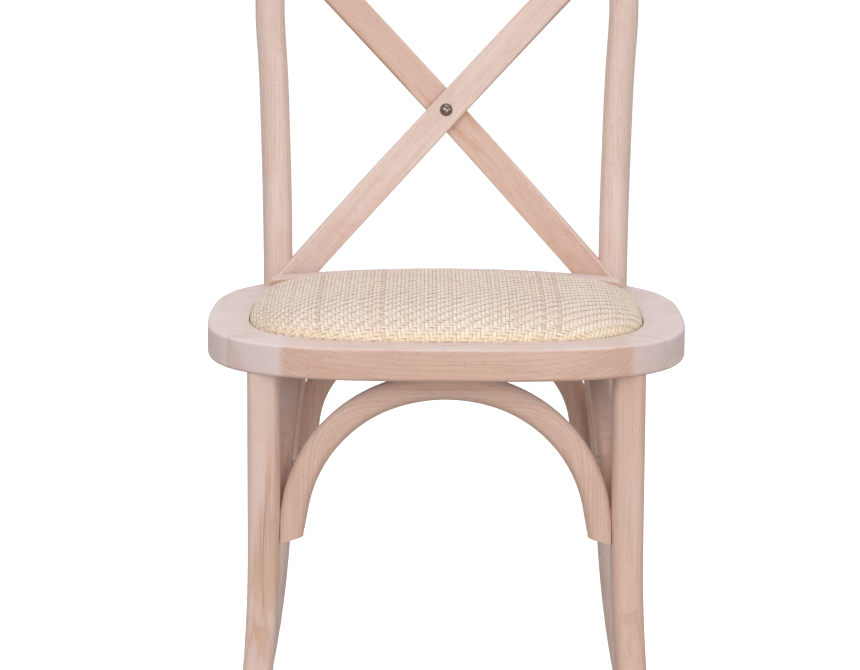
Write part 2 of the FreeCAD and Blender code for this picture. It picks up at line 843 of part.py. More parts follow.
# Slat and foot rail screws
def slat_foot_screws():
    """Screws on the right: from behind, through the slat foot, into the foot rail."""
    places = []
    height = recess_floor + (recess_depth + foot_rail_proud) / 2
    for step in (-0.5, 0.5):
        x = slat_foot_screw_middle_x + slat_foot_screw_spread * step
        radius = slat_surface_radius + slat_thickness / 2 - slat_foot_screw_sink
        y = slat_surface_y + math.sqrt(radius ** 2 - x ** 2)
        inward = vector(-x, slat_surface_y - y, 0).normalize()
        places.append((vector(x, y, height), inward))
    return places


def make_slat_foot_screws(extra):
    return both_sides([countersunk_screw(head, inward, slat_foot_screw_length, extra)
                       for head, inward in slat_foot_screws()])


def make_slat_top_screws(extra):
    """Screws from behind the hoop into each slat's tenon."""
    spot = slat_spot(1, 0)
    head = spot + back * (hoop_radius - slat_top_screw_sink)
    return both_sides([countersunk_screw(head, back * -1, slat_top_screw_length, extra)])


def make_foot_rail_screws(extra):
    screws = []
    radius = (foot_rail_inner + foot_rail_outer) / 2
    for x in foot_rail_screw_x:
        y = slat_surface_y + math.sqrt(radius ** 2 - x ** 2)
        head = vector(x, y, seat_underside)
        screws.append(countersunk_screw(head, up, foot_rail_screw_length, extra))
    return screws


# Seat panel
def make_dome(inset, floor, crown):
    """The panel's crowned form: a short upright side, a rolled border and a soft crown."""
    middle = (floor + seat_height) / 2
    wires = [panel_outline(1, inset, floor), panel_outline(1, inset, middle)]
    steps = 10
    for step in range(steps):
        angle = math.radians(dome_last_angle) * step / (steps - 1)
        scale = math.cos(angle) ** (2 / panel_roundness)
        wires.append(panel_outline(scale, inset, seat_height + crown * math.sin(angle)))
    return Part.makeLoft(wires, True, False)


def make_cover():
    """Woven skin over the pad, down round the board and turned under it."""
    outer = make_dome(0, hem_floor, panel_crown)
    inner = make_dome(cover_thickness, board_floor, panel_crown - cover_thickness)
    hole = prism(panel_outline(1, hem_width, 0), hem_floor - 1, board_floor + 1)
    return outer.cut([inner, hole])


def make_board():
    return prism(panel_outline(1, inner_inset, 0), board_floor, board_top)


def make_foam():
    dome = make_dome(inner_inset, board_floor, panel_crown - inner_inset)
    below = box_between(vector(-far, -far, -far), vector(far, far, board_top))
    return dome.cut(below)


def staple_places():
    """Middle and direction round the hem of each staple."""
    places = []
    for step in range(staple_count):
        angle = 2 * math.pi * (step + 0.5) / staple_count
        reach = panel_reach(angle) - hem_width / 2
        middle = vector(reach * math.cos(angle),
                        panel_widest_from_front + reach * math.sin(angle), hem_floor)
        places.append((middle, math.degrees(angle) + 90))
    return places


def make_staples():
    staples = []
    wire = staple_wire
    for middle, turn in staple_places():
        crown = Part.makeBox(staple_width, wire, wire, vector(-staple_width / 2, -wire / 2, 0))
        legs = [Part.makeBox(wire, wire, staple_leg, vector(x, -wire / 2, 0))
                for x in (-staple_width / 2, staple_width / 2 - wire)]
        staple = crown.fuse(legs).removeSplitter()
        staple.rotate(vector(0, 0, 0), up, turn)
        staple.translate(middle)
        staples.append(staple)
    return staples


def make_panel_screws(extra):
    return both_sides([countersunk_screw(vector(x, y, seat_underside), up,
                                         panel_screw_length, extra)
                       for x, y in panel_screw_places])


# Put the pieces together
ring = make_ring()
ring = ring.cut([tenon_hole(), mirrored(tenon_hole())] + make_dowels(hole)
                + make_hoop_bolts(hole) + make_barrel_nuts(hole)
                + make_arch_top_screws(hole) + make_foot_rail_screws(hole)
                + make_panel_screws(hole))
front_region = front_rail_region()
rear_region = rear_rail_region()
shapes["seat_front_rail"] = ring.common(front_region)
shapes["seat_rear_rail"] = ring.common(rear_region)
sides = ring.cut([front_region, rear_region])
right_half = box_between(vector(0, -far, -far), vector(far, far, far))
shapes["seat_right_rail"] = sides.common(right_half)
shapes["seat_left_rail"] = sides.cut(right_half)
shapes["seat_rail_dowels"] = group(make_dowels(0))

front_slat = make_slat(-1)
rear_slat = mirrored(make_slat(1))
hoop = make_hoop()
glide_holes = make_glides(hole)
hoop_cuts = [front_slat, rear_slat] + make_hoop_bolts(hole) + make_slat_top_screws(hole)
hoop_cuts += make_arch_end_screws(hole) + glide_holes
shapes["back_hoop"] = cut_all(hoop, hoop_cuts)
bolt_hole = make_cross_bolt(hole)
slat_holes = [bolt_hole] + make_slat_foot_screws(hole) + make_slat_top_screws(hole)
shapes["cross_slat_front"] = cut_all(front_slat, slat_holes)
shapes["cross_slat_rear"] = cut_all(rear_slat, slat_holes)
shapes["cross_bolt"] = make_cross_bolt(0)
shapes["cross_bolt_cap_nut"] = make_cap_nut()
shapes["slat_top_screws"] = group(make_slat_top_screws(0))
shapes["slat_foot_screws"] = group(make_slat_foot_screws(0))
shapes["slat_foot_rail"] = cut_all(make_foot_rail(),
                                   make_slat_foot_screws(hole) + make_foot_rail_screws(hole))
shapes["foot_rail_screws"] = group(make_foot_rail_screws(0))

front_leg = cut_all(make_front_leg(), make_arch_end_screws(hole) + glide_holes)
shapes["front_right_leg"] = front_leg
shapes["front_left_leg"] = mirrored(front_leg)
arch_cuts = make_arch_end_screws(hole) + make_arch_top_screws(hole)
front_arch = make_cross_arch(front_half_span, front_arch_y, front_curve)
rear_arch = make_cross_arch(rear_half_span, post_from_front, common_curve)
shapes["front_arch"] = cut_all(front_arch, arch_cuts)
shapes["rear_arch"] = cut_all(rear_arch, arch_cuts)
side_arch = cut_all(make_side_arch(), arch_cuts)
shapes["right_arch"] = side_arch
shapes["left_arch"] = mirrored(side_arch)
shapes["arch_end_screws"] = group(make_arch_end_screws(0))
shapes["arch_top_screws"] = group(make_arch_top_screws(0))
shapes["hoop_bolts"] = group(make_hoop_bolts(0))
shapes["hoop_barrel_nuts"] = group([nut.cut(make_hoop_bolts(hole))
                                    for nut in make_barrel_nuts(0)])
shapes["foot_glides"] = group(make_glides(0))

staples = make_staples()
shapes["rattan_seat_cover"] = cut_all(make_cover(), staples)
shapes["seat_base_board"] = cut_all(make_board(), staples + make_panel_screws(hole))
shapes["seat_foam_pad"] = make_foam()
shapes["cover_staples"] = group(staples)
shapes["panel_screws"] = group(make_panel_screws(0))

# Move the origin to the floor in the middle of the outline, and write each piece
whole = group(list(shapes.values())).optimalBoundingBox(False)
to_origin = vector(-(whole.XMin + whole.XMax) / 2, -(whole.YMin + whole.YMax) / 2, 0)
os.makedirs("parts", exist_ok=True)
for name, shape in shapes.items():
    shape.translate(to_origin)
    shape.exportStep("parts/" + name + ".step")
    print(name, "solids", len(shape.Solids), "valid", shape.isValid(),
          "volume", round(shape.Volume / 1000, 1))
print("size", round(whole.XLength, 1), round(whole.YLength, 1), round(whole.ZLength, 1),
      "moved by", round(to_origin.y, 2))
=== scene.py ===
import bpy
import math
import numpy as np
from mathutils import Matrix, Vector


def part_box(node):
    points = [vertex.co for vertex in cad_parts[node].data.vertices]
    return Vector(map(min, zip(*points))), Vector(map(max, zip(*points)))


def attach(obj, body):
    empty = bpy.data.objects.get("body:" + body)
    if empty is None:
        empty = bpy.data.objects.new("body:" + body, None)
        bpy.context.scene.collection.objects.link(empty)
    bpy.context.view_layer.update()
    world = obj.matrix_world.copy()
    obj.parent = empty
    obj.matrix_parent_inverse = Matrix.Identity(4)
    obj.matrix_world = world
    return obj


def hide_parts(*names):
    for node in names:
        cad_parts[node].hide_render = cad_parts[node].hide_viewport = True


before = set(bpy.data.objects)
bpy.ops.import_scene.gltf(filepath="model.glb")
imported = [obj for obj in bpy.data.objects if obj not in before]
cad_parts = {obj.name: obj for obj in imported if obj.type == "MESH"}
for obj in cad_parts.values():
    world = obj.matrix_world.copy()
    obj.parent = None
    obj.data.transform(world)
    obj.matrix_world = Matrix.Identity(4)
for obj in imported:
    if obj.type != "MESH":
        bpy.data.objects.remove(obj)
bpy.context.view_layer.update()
draws = np.random.RandomState(7)

# Everything is in metres, in the frame's own place: X to the right as seen from the front,
# Y to the back and Z up from the floor. A CAD node's object sits at the origin, so object
# coordinates in its material are the same as these.

# Places taken from the frame: a box is a node's low corner and its high corner
seat_underside, seat_top = (corner.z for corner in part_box("seat_front_rail"))
cover_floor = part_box("rattan_seat_cover")[0].z
board_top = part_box("seat_base_board")[1].z
hoop_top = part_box("back_hoop")[1].z
front_arch_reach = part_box("front_arch")[1].x
rear_arch_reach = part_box("rear_arch")[1].x
side_arch_front, side_arch_rear = (corner.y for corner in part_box("right_arch"))

# The middle lines of the bent pieces lie half their thickness inside their boxes
hoop_half_width = 0.187
hoop_corner = 0.095
hoop_rod_radius = 0.0157
arch_half_thickness = 0.014
cross_arch_corner = 0.080
side_arch_corner = 0.075

# A slat leans this far to the side while it goes up this far
slat_lean = 0.327
slat_rise = 0.364
slat_length = math.hypot(slat_lean, slat_rise)

# Joints of the seat ring. The part's source counts Y from the front of the ring.
ring_front_to_middle = 0.24705
joint_half_width = 0.00085
front_joint_x = 0.216
front_joint_y = 0.067 - ring_front_to_middle
front_joint_slope = 27 / 34
rear_joint_y = 0.345 - ring_front_to_middle

# The part of the front rail's face that reads as flat, between the corners painted lighter with
# painted light
flat_front_left = -0.167
flat_front_right = 0.187
corner_fade = 0.010

# The golden streak of heartwood down the left front leg, and the dark vein in it
streak_x = -0.1768
streak_half_width = 0.0052
vein_x = -0.1778
vein_half_width = 0.0008
vein_strength = 5.0
sway_per_metre = 21.0
sway_reach = 0.0035

# The panel's outline, the same rounded square and arc as in the part's source
panel_middle_y = -0.04705
panel_arc_middle_y = -0.15478
panel_arc_radius = 0.30425
panel_rear_reach = 0.19802
panel_half_width = 0.200
panel_front_reach = 0.157
panel_rear_squareness = 4.0
panel_front_squareness = 3.0
panel_corner_sharpness = 24
panel_crown = 0.032
panel_side_depth = 0.05
crown_power = 2 / 3

# Lengths along the panel's skin that the weave is laid out with
shortest_reach, longest_reach, reach_count = 0.145, 0.265, 25
skin_length, skin_steps = 0.31, 620
skin_difference_step = 0.0006

# Weave: pitch of the strands, the size of one, and how far it goes up and down
pitch = 0.00403
warp_width = 0.00402
weft_width = 0.0037
weft_sink = 0.00006
strand_thickness = 0.0009
weave_lift = 0.00052
weave_top = -0.00045
samples_per_pitch = 2
weave_half_extent = 0.26
longest_strand_reach = 0.30
strand_end_height = 0.0006
spacing_scatter = 0.00007
lift_scatter = 0.00004
wave_flatness = 1.15

# Places in a strand's section, as shares of its width and thickness
strand_section = ((-0.5, 0.34), (-0.36, 0.49), (0.36, 0.49), (0.5, 0.34), (0.0, -0.5))

# Pad and hem: gaps to the skin, and the number of points around
points_around = 160
pad_rings = 40
pad_side_gap = 0.0022
pad_top_gap = 0.0018
hem_side_gap = 0.0004
hem_width = 0.018
hem_thickness = 0.0012

# Camera, worked out from the photograph: the picture is 860 by 670 pixels
picture_width = 860
sensor_width = 36.0
focal_pixels = 3327.67
camera_place = Vector((-0.0187, -3.417, 1.0392))
camera_turn = math.radians(0.0388)
camera_down = math.radians(10.0974)
camera_roll = math.radians(0.3158)


def srgb(red, green, blue):
    """Linear colour of three values from 0 to 255 as a picture has them."""
    def linear(value):
        value /= 255
        return value / 12.92 if value <= 0.04045 else ((value + 0.055) / 1.055) ** 2.4
    return linear(red), linear(green), linear(blue), 1.0


# Shader building
class Graph:
    """Short calls that add nodes to a node tree and link them."""

    def __init__(self, tree):
        self.nodes = tree.nodes
        self.links = tree.links

    def add(self, kind, inputs=(), **settings):
        node = self.nodes.new(kind)
        for name, value in settings.items():
            setattr(node, name, value)
        for key, value in dict(inputs).items():
            if isinstance(value, bpy.types.NodeSocket):
                self.links.new(value, node.inputs[key])
            else:
                node.inputs[key].default_value = value
        return node

    def math(self, operation, *values):
        return self.add("ShaderNodeMath", enumerate(values), operation=operation).outputs[0]

    def times(self, a, b):
        return self.math("MULTIPLY", a, b)

    def plus(self, a, b):
        return self.math("ADD", a, b)

    def minus(self, a, b):
        return self.math("SUBTRACT", a, b)

    def vector(self, x, y, z):
        return self.add("ShaderNodeCombineXYZ", {"X": x, "Y": y, "Z": z}).outputs[0]

    def split(self, vector):
        return self.add("ShaderNodeSeparateXYZ", {"Vector": vector}).outputs

    def noise(self, vector, detail):
        return self.add("ShaderNodeTexNoise", {"Vector": vector, "Scale": 1.0,
                                               "Detail": detail}).outputs[0]

    def place(self):
        """The x, y and z of the point that is shaded."""
        return self.split(self.add("ShaderNodeTexCoord").outputs["Object"])

    def stretched_noise(self, place, scales, detail):
        """Noise with a scale of its own along each of place's three sockets."""
        return self.noise(self.vector(*map(self.times, place, scales)), detail)

    def ramp(self, value, low, high):
        """0 below low and 1 above high, with a soft step between."""
        return self.add("ShaderNodeMapRange", {"Value": value, "From Min": low, "From Max": high},
                        interpolation_type="SMOOTHSTEP").outputs[0]

    def mix(self, share, a, b, blend="MIX"):
        return self.add("ShaderNodeMix", {0: share, 6: a, 7: b}, data_type="RGBA",
                        blend_type=blend).outputs[2]

    def grey(self, value):
        return self.add("ShaderNodeCombineColor", {0: value, 1: value, 2: value}).outputs[0]


def new_material(name):
    material = bpy.data.materials.new(name)
    material.use_nodes = True
    graph = Graph(material.node_tree)
    graph.nodes.clear()
    return material, graph


def finish_surface(graph, colour, roughness, height, bump, settings):
    """The shader with its varying colour, roughness and bump, and its constant settings."""
    normal = graph.add("ShaderNodeBump", {"Height": height, "Strength": 1.0, "Distance": bump})
    inputs = {"Base Color": colour, "Roughness": roughness, "Normal": normal.outputs[0]}
    inputs.update(settings)
    shader = graph.add("ShaderNodeBsdfPrincipled", inputs)
    graph.add("ShaderNodeOutputMaterial", {"Surface": shader.outputs[0]})


def make_wood_group():
    """Whitewashed beech. Along runs with the grain, Across through the growth layers and
    Depth at right angles to both, all in metres."""
    tree = bpy.data.node_groups.new("whitewashed_beech", "ShaderNodeTree")
    # The whitewash socket also carries painted light on tops and on the front rail's corners
    sockets = [(name, "INPUT", "NodeSocketFloat") for name in
               ("Along", "Across", "Depth", "Warmth", "Streak", "Wash And Light", "Line")]
    sockets += [("Color", "OUTPUT", "NodeSocketColor"),
                ("Roughness", "OUTPUT", "NodeSocketFloat"),
                ("Height", "OUTPUT", "NodeSocketFloat")]
    for name, direction, kind in sockets:
        tree.interface.new_socket(name=name, in_out=direction, socket_type=kind)
    graph = Graph(tree)
    given = graph.add("NodeGroupInput").outputs
    directions = (given["Along"], given["Across"], given["Depth"])
    layers_per_metre = 240
    layer_wander = 0.006

    def grain(with_grain, through, sideways, detail=2.0):
        return graph.stretched_noise(directions, (with_grain, through, sideways), detail)

    wander = graph.times(graph.minus(grain(7, 30, 20), 0.5), layer_wander)
    layers = graph.math("FRACT", graph.times(graph.plus(given["Across"], wander),
                                             layers_per_metre))
    late_wood = graph.ramp(layers, 0.72, 0.98)
    bands = graph.ramp(grain(4, 120, 60, 3), 0.34, 0.66)
    lines = graph.ramp(grain(9, 800, 520), 0.52, 0.72)
    fibres = grain(60, 2600, 2400, 1)
    flecks = graph.ramp(grain(260, 700, 700, 1), 0.62, 0.74)
    heart = graph.ramp(grain(5, 60, 22, 3), 0.56, 0.66)
    heart_line = graph.ramp(grain(3, 260, 200, 1), 0.60, 0.68)
    cloud = graph.ramp(grain(18, 24, 24), 0.35, 0.7)

    pale = srgb(225, 202, 188)
    rosy = srgb(217, 187, 172)
    colour = graph.mix(bands, pale, rosy)
    colour = graph.mix(given["Warmth"], colour, srgb(205, 160, 139))
    colour = graph.mix(graph.times(late_wood, 0.30), colour, srgb(190, 142, 116))
    colour = graph.mix(graph.times(lines, 0.34), colour, srgb(186, 136, 112))
    colour = graph.mix(graph.times(flecks, 0.36), colour, srgb(172, 116, 92))
    # A Streak up to 1 scatters heartwood by chance, and what is above 1 is placed
    placed = graph.math("MAXIMUM", graph.minus(given["Streak"], 1.0), 0.0)
    scattered = graph.times(heart, graph.math("MINIMUM", given["Streak"], 1.0))
    streak = graph.math("MAXIMUM", placed, scattered)
    colour = graph.mix(graph.times(streak, 0.62), colour, srgb(194, 142, 96))
    colour = graph.mix(graph.times(graph.times(streak, heart_line), 0.5), colour,
                       srgb(140, 92, 62))
    # The whitewash film, which also carries painted light: faces that look up and the front
    # rail's corners are painted lighter
    wash_and_light_film = graph.times(given["Wash And Light"], graph.plus(0.7, graph.times(cloud, 0.6)))
    colour = graph.mix(wash_and_light_film, colour, srgb(227, 212, 212))
    shade = graph.plus(0.95, graph.times(fibres, 0.1))
    colour = graph.mix(1.0, colour, graph.grey(shade), "MULTIPLY")
    colour = graph.mix(given["Line"], colour, srgb(92, 58, 44))
    roughness = graph.plus(0.40, graph.times(fibres, 0.16))
    roughness = graph.plus(roughness, graph.times(lines, 0.08))
    pores = graph.plus(graph.times(fibres, 0.6), graph.times(flecks, -0.5))
    height = graph.minus(graph.minus(pores, graph.times(lines, 0.5)),
                         graph.times(given["Line"], 2.0))
    graph.add("NodeGroupOutput", {"Color": colour, "Roughness": roughness, "Height": height})
    return tree


wood_group = make_wood_group()


def wash_with_corner_light(graph, wash_and_corner_light, x):
    """The share of whitewash, and of painted light on the front rail's corners. A pair gives the
    seat's flat front and its corners, which are painted lighter for the light they catch.
    """
    if not isinstance(wash_and_corner_light, tuple):
        return wash_and_corner_light
    # Painted light: the front rail's corners are painted lighter than its flat face
    right = graph.ramp(x, flat_front_right - corner_fade, flat_front_right)
    left = graph.ramp(graph.minus(0.0, x), -flat_front_left - corner_fade, -flat_front_left)
    return graph.plus(wash_and_corner_light[0], graph.times(graph.plus(left, right), wash_and_corner_light[1] - wash_and_corner_light[0]))


def joint_shade(graph, line, upward, x, y, z):
    """A joint shows most on the top, where the finish has filled it least."""
    return graph.times(line(graph, x, y, z), graph.plus(0.06, graph.times(upward, 0.30)))


def wood(name, grain, seed, warmth, streak, wash_and_corner_light, line=None):
    """A wood material. grain(graph, x, y, z) gives the along, across and depth sockets, and
    line(graph, x, y, z) the darkness of a drawn line such as a joint. Faces that look up
    are painted cooler and lighter: painted light from above, added to the whitewash."""
    # Painted light from above: how much cooler and lighter faces that look up are painted, and
    # the cap on the pale film
    painted_top_cooling, painted_top_light, most_wash_and_light = 0.3, 0.62, 0.80
    material, graph = new_material(name)
    x, y, z = graph.place()
    normal = graph.add("ShaderNodeTexCoord").outputs["Normal"]
    upward = graph.ramp(graph.split(normal)[2], 0.25, 0.95)
    along, across, depth = grain(graph, x, y, z)
    # Painted light: faces that look up get less warmth and more of the pale film, and the front
    # rail's corners more film
    cooled = graph.minus(warmth, graph.times(upward, painted_top_cooling))
    wash_and_light = graph.plus(wash_with_corner_light(graph, wash_and_corner_light, x), graph.times(upward, painted_top_light))
    inputs = {"Along": graph.plus(along, seed), "Across": across, "Depth": depth,
              "Warmth": graph.math("MAXIMUM", cooled, 0.0),
              "Streak": streak(graph, x, y, z) if callable(streak) else streak,
              "Wash And Light": graph.math("MINIMUM", wash_and_light, most_wash_and_light),
              "Line": joint_shade(graph, line, upward, x, y, z) if line else 0.0}
    surface = graph.add("ShaderNodeGroup", inputs, node_tree=wood_group).outputs
    finish_surface(graph, surface["Color"], surface["Roughness"], surface["Height"], 0.00018,
                   {"Specular IOR Level": 0.42, "Coat Weight": 0.12, "Coat Roughness": 0.32})
    return material


# How the grain runs in each kind of piece: the along, across and depth sockets
def grain_x(graph, x, y, z):
    return x, z, y


def grain_y(graph, x, y, z):
    return y, z, x


def grain_z(graph, x, y, z):
    return z, y, x


def front_rail_grain(graph, x, y, z):
    """Growth layers that rise to the rear, so that they cross the rounded corners."""
    tilt = graph.minus(graph.times(z, 0.78), graph.times(y, 0.62))
    slope = graph.plus(tilt, graph.times(x, 0.012))
    return x, slope, y


def slat_grain(sideways):
    """Grain that follows a slat from its foot to its top; sideways is 1 or -1."""
    side_share = slat_lean / slat_length
    up_share = slat_rise / slat_length

    def grain(graph, x, y, z):
        leaning = graph.times(x, sideways)
        along = graph.plus(graph.times(leaning, side_share), graph.times(z, up_share))
        across = graph.minus(graph.times(leaning, up_share), graph.times(z, side_share))
        return along, across, y
    return grain


def bent_grain(middle, half_span, top, radius, axis=0):
    """Grain that goes up one limb of a bent piece, over the top and down the other: the
    distance from a rounded rectangle gives the layer."""
    inner_x = half_span - radius
    inner_z = top - radius

    def grain(graph, x, y, z):
        span, depth = (x, y) if axis == 0 else (y, x)
        side = graph.math("ABSOLUTE", graph.minus(span, middle))
        over_x = graph.math("MAXIMUM", graph.minus(side, inner_x), 0.0)
        over_z = graph.math("MAXIMUM", graph.minus(z, inner_z), 0.0)
        outside = graph.math("POWER", graph.plus(graph.times(over_x, over_x),
                                                 graph.times(over_z, over_z)), 0.5)
        return graph.minus(z, side), outside, depth
    return grain


def thin_line(graph, distance, half_width):
    """1 on the line where distance is 0, fading out at half_width."""
    away = graph.math("ABSOLUTE", distance)
    return graph.minus(1.0, graph.ramp(away, half_width * 0.35, half_width))


def front_joint(graph, x, y, z):
    """The slanting joints between the front rail and the side rails."""
    side = graph.minus(graph.math("ABSOLUTE", x), front_joint_x)
    rearward = graph.minus(y, front_joint_y)
    length = math.hypot(1, front_joint_slope)
    distance = graph.plus(graph.times(side, front_joint_slope / length),
                          graph.times(rearward, 1 / length))
    return thin_line(graph, distance, joint_half_width)


def rear_joint(graph, x, y, z):
    """The square joints between the side rails and the rear rail."""
    return thin_line(graph, graph.minus(y, rear_joint_y), joint_half_width)


def side_joints(graph, x, y, z):
    return graph.math("MAXIMUM", front_joint(graph, x, y, z), rear_joint(graph, x, y, z))


def from_swaying_line(graph, x, z, middle):
    """Distance to the side of a line that wanders down the left front leg."""
    sway = graph.times(graph.math("SINE", graph.times(z, sway_per_metre)), sway_reach)
    return graph.minus(x, graph.plus(middle, sway))


def between_heights(graph, z, bottom, low, high, top):
    """1 from low to high, fading out at bottom and top."""
    return graph.times(graph.ramp(z, bottom, low), graph.minus(1.0, graph.ramp(z, high, top)))


def leg_heartwood(graph, x, y, z):
    """The golden streak: 1, and more than 1 where it is."""
    away = graph.math("ABSOLUTE", from_swaying_line(graph, x, z, streak_x))
    band = graph.minus(1.0, graph.ramp(away, 0.0012, streak_half_width))
    return graph.plus(1.0, graph.times(band, between_heights(graph, z, 0.13, 0.20, 0.31, 0.38)))


def leg_vein(graph, x, y, z):
    """The thin dark vein in that streak."""
    vein = thin_line(graph, from_swaying_line(graph, x, z, vein_x), vein_half_width)
    faded = graph.times(vein, between_heights(graph, z, 0.17, 0.21, 0.29, 0.33))
    return graph.times(faded, vein_strength)


arch_top = seat_underside - arch_half_thickness
side_arch_middle = (side_arch_front + side_arch_rear) / 2
side_arch_half_span = (side_arch_rear - side_arch_front) / 2 - arch_half_thickness
hoop_grain = bent_grain(0.0, hoop_half_width, hoop_top - hoop_rod_radius, hoop_corner)
front_arch_grain = bent_grain(0.0, front_arch_reach - arch_half_thickness, arch_top,
                              cross_arch_corner)
rear_arch_grain = bent_grain(0.0, rear_arch_reach - arch_half_thickness, arch_top,
                             cross_arch_corner)
side_arch_grain = bent_grain(side_arch_middle, side_arch_half_span, arch_top,
                             side_arch_corner, axis=1)

# Each piece's material: grain, seed, warmth, streak, wash and line. The front rail's pair of wash
# shares paints light on its corners
wood_finishes = {
    "seat_front_rail": wood("beech_front_rail", front_rail_grain, 0.3, 0.46, 0.15, (0.0, 0.64),
                            front_joint),
    "seat_left_rail": wood("beech_left_rail", grain_y, 1.7, 0.08, 0.1, 0.72, side_joints),
    "seat_right_rail": wood("beech_right_rail", grain_y, 2.9, 0.08, 0.1, 0.72, side_joints),
    "seat_rear_rail": wood("beech_rear_rail", grain_x, 4.1, 0.25, 0.1, 0.14, rear_joint),
    "back_hoop": wood("beech_hoop", hoop_grain, 5.3, 0.05, 0.1, 0.30),
    "cross_slat_front": wood("beech_front_slat", slat_grain(1), 6.1, 0.08, 0.0, 0.32),
    "cross_slat_rear": wood("beech_rear_slat", slat_grain(-1), 7.7, 0.44, 0.9, 0.08),
    "slat_foot_rail": wood("beech_foot_rail", grain_x, 8.3, 0.35, 0.2, 0.18),
    "front_left_leg": wood("beech_left_leg", grain_z, 9.1, 0.16, leg_heartwood, 0.20, leg_vein),
    "front_right_leg": wood("beech_right_leg", grain_z, 10.9, 0.40, 0.2, 0.06),
    "front_arch": wood("beech_front_arch", front_arch_grain, 11.3, 0.42, 0.1, 0.0),
    "rear_arch": wood("beech_rear_arch", rear_arch_grain, 12.7, 0.42, 0.1, 0.0),
    "right_arch": wood("beech_right_arch", side_arch_grain, 13.9, 0.35, 0.1, 0.04),
    "left_arch": wood("beech_left_arch", side_arch_grain, 15.1, 0.35, 0.1, 0.04),
    "seat_rail_dowels": wood("beech_dowels", grain_x, 16.3, 0.4, 0.0, 0.0),
}


def make_plywood():
    """Rotary-cut veneer: wide, wandering figure and short fibres."""
    material, graph = new_material("plywood_board")
    place = graph.place()
    ply_thickness = 0.003
    wander = graph.stretched_noise(place, (4, 14, 0), 3)
    figure = graph.math("FRACT", graph.times(wander, 9.0))
    fibres = graph.stretched_noise(place, (60, 900, 900), 2)
    plies = graph.ramp(graph.math("FRACT", graph.times(place[2], 1 / ply_thickness)), 0.45, 0.55)
    colour = graph.mix(graph.ramp(figure, 0.3, 0.9), srgb(214, 184, 146), srgb(188, 148, 108))
    colour = graph.mix(graph.times(graph.ramp(fibres, 0.5, 0.7), 0.3), colour,
                       srgb(158, 118, 84))
    colour = graph.mix(graph.times(plies, 0.12), colour, srgb(120, 84, 56))
    finish_surface(graph, colour, graph.plus(0.62, graph.times(fibres, 0.15)), fibres, 0.0002,
                   {"Specular IOR Level": 0.3})
    return material


def make_metal(name, tint, smooth, scratch):
    """Plated metal with faint brushing and small stains."""
    material, graph = new_material(name)
    place = graph.place()
    brushed = graph.stretched_noise(place, (900, 900, 5200), 2)
    stains = graph.ramp(graph.stretched_noise(place, (260, 260, 260), 3), 0.45, 0.8)
    colour = graph.mix(graph.times(stains, 0.35), tint, srgb(132, 122, 110))
    roughness = graph.plus(smooth, graph.times(stains, 0.14))
    finish_surface(graph, colour, roughness, brushed, scratch, {"Metallic": 1.0})
    return material


def make_nylon():
    """Moulded nylon: a fine pebbled skin, scuffed paler underneath."""
    material, graph = new_material("nylon_glide")
    place = graph.place()
    pebbles = graph.stretched_noise(place, (2400, 2400, 2400), 2)
    scuffs = graph.ramp(graph.stretched_noise(place, (90, 700, 90), 2), 0.5, 0.7)
    colour = graph.mix(graph.times(scuffs, 0.4), srgb(74, 62, 54), srgb(112, 100, 90))
    finish_surface(graph, colour, graph.plus(0.42, graph.times(pebbles, 0.2)), pebbles, 0.0001,
                   {"Specular IOR Level": 0.4})
    return material


nickel = make_metal("nickel_polished", srgb(142, 128, 120), 0.17, 0.00001)
zinc = make_metal("zinc_screws", srgb(176, 170, 156), 0.30, 0.00004)
plain_finishes = {
    "cross_bolt": nickel, "cross_bolt_cap_nut": nickel, "slat_top_screws": zinc,
    "slat_foot_screws": zinc, "foot_rail_screws": zinc, "arch_end_screws": zinc,
    "arch_top_screws": zinc, "hoop_bolts": zinc, "hoop_barrel_nuts": zinc,
    "cover_staples": zinc, "panel_screws": zinc, "foot_glides": make_nylon(),
    "seat_base_board": make_plywood(),
}
for node, material in {**wood_finishes, **plain_finishes}.items():
    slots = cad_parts[node].data.materials
    slots.clear()
    slots.append(material)


# Seat panel
def panel_reach(angle):
    """Distance from the panel's middle to its edge, in the plan, in each direction."""
    cosine, sine = np.cos(angle), np.sin(angle)
    rear = sine > 0
    power = np.where(rear, panel_rear_squareness, panel_front_squareness)
    depth = np.where(rear, panel_rear_reach, panel_front_reach)
    across = np.abs(cosine / panel_half_width) ** power
    square = (across + np.abs(sine / depth) ** power) ** (-1 / power)
    drop = panel_middle_y - panel_arc_middle_y
    arc = np.sqrt(panel_arc_radius ** 2 - (drop * cosine) ** 2) - drop * sine
    sharpness = panel_corner_sharpness
    return (square ** -sharpness + arc ** -sharpness) ** (-1 / sharpness)


profile_reaches = np.linspace(shortest_reach, longest_reach, reach_count)
profile_lengths = np.linspace(0, skin_length, skin_steps + 1)


def dome_profiles():
    """Radius and height against the length along the skin from the middle out, for each
    reach: a soft crown, a rolled border and an upright side."""
    radii, heights = [], []
    turn = np.linspace(0, math.pi / 2, 400)
    for reach in profile_reaches:
        radius = np.append(reach * np.sin(turn) ** crown_power, reach)
        height = np.append(panel_crown * np.cos(turn), -panel_side_depth)
        length = np.concatenate([[0], np.cumsum(np.hypot(np.diff(radius), np.diff(height)))])
        radii.append(np.interp(profile_lengths, length, radius))
        heights.append(np.interp(profile_lengths, length, height))
    return np.array(radii), np.array(heights)


dome_radii, dome_heights = dome_profiles()


